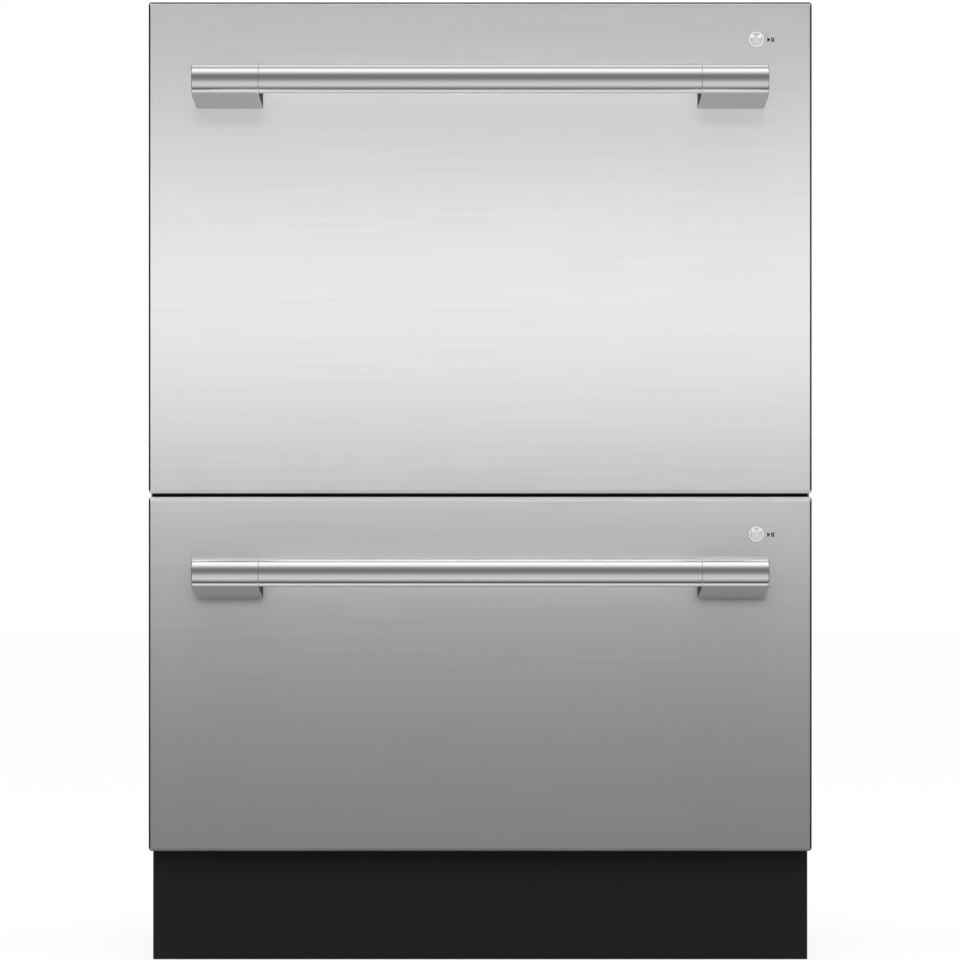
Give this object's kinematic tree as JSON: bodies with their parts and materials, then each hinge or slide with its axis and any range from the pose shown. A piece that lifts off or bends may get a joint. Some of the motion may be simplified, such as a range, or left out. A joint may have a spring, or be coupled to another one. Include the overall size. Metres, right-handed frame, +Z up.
{
  "type": "dishwasher drawer",
  "caption": "Built-in dishwasher with stacked pull-out washing drawers, brushed steel fronts, round bar handles, baskets, spray arms, lifting lids and adjustable feet.",
  "frame": {"origin": "on the floor, under the middle of the whole machine's box, handles included", "axes": "+Z up, -Y out of the fronts towards the user, +X to the right as seen from the front"},
  "size_m": [0.599, 0.644, 0.8683],
  "materials": {
    "front_steel": "fine horizontal brushing",
    "handle_steel": "fine brushing along the bar, nearly polished",
    "button_metal": "turned face with concentric brushing",
    "cabinet_steel": "galvanised grey, satin",
    "black_steel": "black powder coat",
    "rail_steel": "zinc plated",
    "tub_plastic": "moulded, satin",
    "frame_plastic": "moulded, fine grain",
    "lid_plastic": "moulded, satin",
    "seal_rubber": "matt rubber",
    "coated_wire": "nylon coated",
    "dispenser_plastic": "moulded, satin",
    "cutlery_plastic": "moulded, satin",
    "filter_plastic": "moulded, satin",
    "spray_plastic": "moulded, satin",
    "motor_plastic": "moulded, matt",
    "base_plastic": "moulded, matt",
    "black_plastic": "moulded, matt",
    "brass": "machined"
  },
  "bodies": {
    "chassis": {"cabinet_wrapper": "cabinet_steel", "cabinet_top": "cabinet_steel", "base_tray": "base_plastic", "centre_crossbar": "black_steel", "toe_kick": "black_steel", "water_inlet_valve": "brass", "power_cord_gland": "black_plastic", "upper_lid_carrier": "cabinet_steel", "upper_rail_outer_left": "rail_steel", "upper_rail_outer_right": "rail_steel", "lower_lid_carrier": "cabinet_steel", "lower_rail_outer_left": "rail_steel", "lower_rail_outer_right": "rail_steel"},
    "upper_drawer": {"upper_front_skin": "front_steel", "upper_front_frame": "frame_plastic", "upper_handle_bar": "handle_steel", "upper_handle_end_left": "handle_steel", "upper_handle_end_right": "handle_steel", "upper_tub": "tub_plastic", "upper_dispenser_body": "dispenser_plastic", "upper_basket": "coated_wire", "upper_filter_plate": "filter_plastic", "upper_wash_motor": "motor_plastic", "upper_rail_inner_left": "rail_steel", "upper_rail_inner_right": "rail_steel", "upper_cutlery_basket": "cutlery_plastic"},
    "upper_rail_middle": {"upper_rail_middle_left": "rail_steel", "upper_rail_middle_right": "rail_steel"},
    "upper_start_button_body": {"upper_start_button": "button_metal"},
    "upper_power_button_body": {"upper_power_button": "button_metal"},
    "upper_dispenser_flap_body": {"upper_dispenser_flap": "dispenser_plastic"},
    "upper_tine_row_body": {"upper_tine_row": "coated_wire"},
    "upper_spray_arm_body": {"upper_spray_arm": "spray_plastic"},
    "upper_lid_body": {"upper_lid": "lid_plastic", "upper_lid_seal": "seal_rubber"},
    "lower_drawer": {"lower_front_skin": "front_steel", "lower_front_frame": "frame_plastic", "lower_handle_bar": "handle_steel", "lower_handle_end_left": "handle_steel", "lower_handle_end_right": "handle_steel", "lower_tub": "tub_plastic", "lower_dispenser_body": "dispenser_plastic", "lower_basket": "coated_wire", "lower_filter_plate": "filter_plastic", "lower_wash_motor": "motor_plastic", "lower_rail_inner_left": "rail_steel", "lower_rail_inner_right": "rail_steel"},
    "lower_rail_middle": {"lower_rail_middle_left": "rail_steel", "lower_rail_middle_right": "rail_steel"},
    "lower_start_button_body": {"lower_start_button": "button_metal"},
    "lower_power_button_body": {"lower_power_button": "button_metal"},
    "lower_dispenser_flap_body": {"lower_dispenser_flap": "dispenser_plastic"},
    "lower_tine_row_body": {"lower_tine_row": "coated_wire"},
    "lower_spray_arm_body": {"lower_spray_arm": "spray_plastic"},
    "lower_lid_body": {"lower_lid": "lid_plastic", "lower_lid_seal": "seal_rubber"},
    "foot_front_left_body": {"foot_front_left": "black_plastic"},
    "foot_front_right_body": {"foot_front_right": "black_plastic"},
    "foot_rear_left_body": {"foot_rear_left": "black_plastic"},
    "foot_rear_right_body": {"foot_rear_right": "black_plastic"}
  },
  "joints": [
    {"name": "upper_drawer_slide", "type": "slide", "parent": "chassis", "child": "upper_drawer", "axis": [0, -1, 0], "range_m": [0, 0.5]},
    {"name": "upper_rail_slide", "type": "slide", "parent": "chassis", "child": "upper_rail_middle", "axis": [0, -1, 0], "range_m": [0, 0.25]},
    {"name": "upper_start_press", "type": "slide", "parent": "upper_drawer", "child": "upper_start_button_body", "axis": [0, 1, 0], "range_m": [0, 0.001], "stiffness_N_per_m": 600, "springref_m": -0.001},
    {"name": "upper_power_press", "type": "slide", "parent": "upper_drawer", "child": "upper_power_button_body", "axis": [0, -0.354, -0.9352], "range_m": [0, 0.001], "stiffness_N_per_m": 600, "springref_m": -0.001},
    {"name": "upper_flap_hinge", "type": "hinge", "parent": "upper_drawer", "child": "upper_dispenser_flap_body", "pos_m": [0.1, -0.18315, 0.7603], "axis": [-1, 0, 0], "range_deg": [0, 85]},
    {"name": "upper_tine_fold", "type": "hinge", "parent": "upper_drawer", "child": "upper_tine_row_body", "pos_m": [-0.09, 0.06355, 0.5464], "axis": [0, 1, 0], "range_deg": [0, 90]},
    {"name": "upper_spray_spin", "type": "hinge", "parent": "upper_drawer", "child": "upper_spray_arm_body", "pos_m": [0, 0.0465, 0.5013], "axis": [0, 0, 1], "continuous": true},
    {"name": "upper_lid_lift", "type": "slide", "parent": "chassis", "child": "upper_lid_body", "axis": [0, 0, 1], "range_m": [0, 0.006]},
    {"name": "lower_drawer_slide", "type": "slide", "parent": "chassis", "child": "lower_drawer", "axis": [0, -1, 0], "range_m": [0, 0.5]},
    {"name": "lower_rail_slide", "type": "slide", "parent": "chassis", "child": "lower_rail_middle", "axis": [0, -1, 0], "range_m": [0, 0.25]},
    {"name": "lower_start_press", "type": "slide", "parent": "lower_drawer", "child": "lower_start_button_body", "axis": [0, 1, 0], "range_m": [0, 0.001], "stiffness_N_per_m": 600, "springref_m": -0.001},
    {"name": "lower_power_press", "type": "slide", "parent": "lower_drawer", "child": "lower_power_button_body", "axis": [0, -0.354, -0.9352], "range_m": [0, 0.001], "stiffness_N_per_m": 600, "springref_m": -0.001},
    {"name": "lower_flap_hinge", "type": "hinge", "parent": "lower_drawer", "child": "lower_dispenser_flap_body", "pos_m": [0.1, -0.18315, 0.3133], "axis": [-1, 0, 0], "range_deg": [0, 85]},
    {"name": "lower_tine_fold", "type": "hinge", "parent": "lower_drawer", "child": "lower_tine_row_body", "pos_m": [-0.09, 0.06355, 0.2234], "axis": [0, 1, 0], "range_deg": [0, 90]},
    {"name": "lower_spray_spin", "type": "hinge", "parent": "lower_drawer", "child": "lower_spray_arm_body", "pos_m": [0, 0.0465, 0.1783], "axis": [0, 0, 1], "continuous": true},
    {"name": "lower_lid_lift", "type": "slide", "parent": "chassis", "child": "lower_lid_body", "axis": [0, 0, 1], "range_m": [0, 0.006]},
    {"name": "foot_front_left_screw", "type": "slide", "parent": "chassis", "child": "foot_front_left_body", "axis": [0, 0, -1], "range_m": [0, 0.061]},
    {"name": "foot_front_right_screw", "type": "slide", "parent": "chassis", "child": "foot_front_right_body", "axis": [0, 0, -1], "range_m": [0, 0.061]},
    {"name": "foot_rear_left_screw", "type": "slide", "parent": "chassis", "child": "foot_rear_left_body", "axis": [0, 0, -1], "range_m": [0, 0.061]},
    {"name": "foot_rear_right_screw", "type": "slide", "parent": "chassis", "child": "foot_rear_right_body", "axis": [0, 0, -1], "range_m": [0, 0.061]}
  ],
  "couplings": [
    {"joint": "upper_rail_slide", "follows": "upper_drawer_slide", "ratio": 0.5},
    {"joint": "lower_rail_slide", "follows": "lower_drawer_slide", "ratio": 0.5}
  ]
}
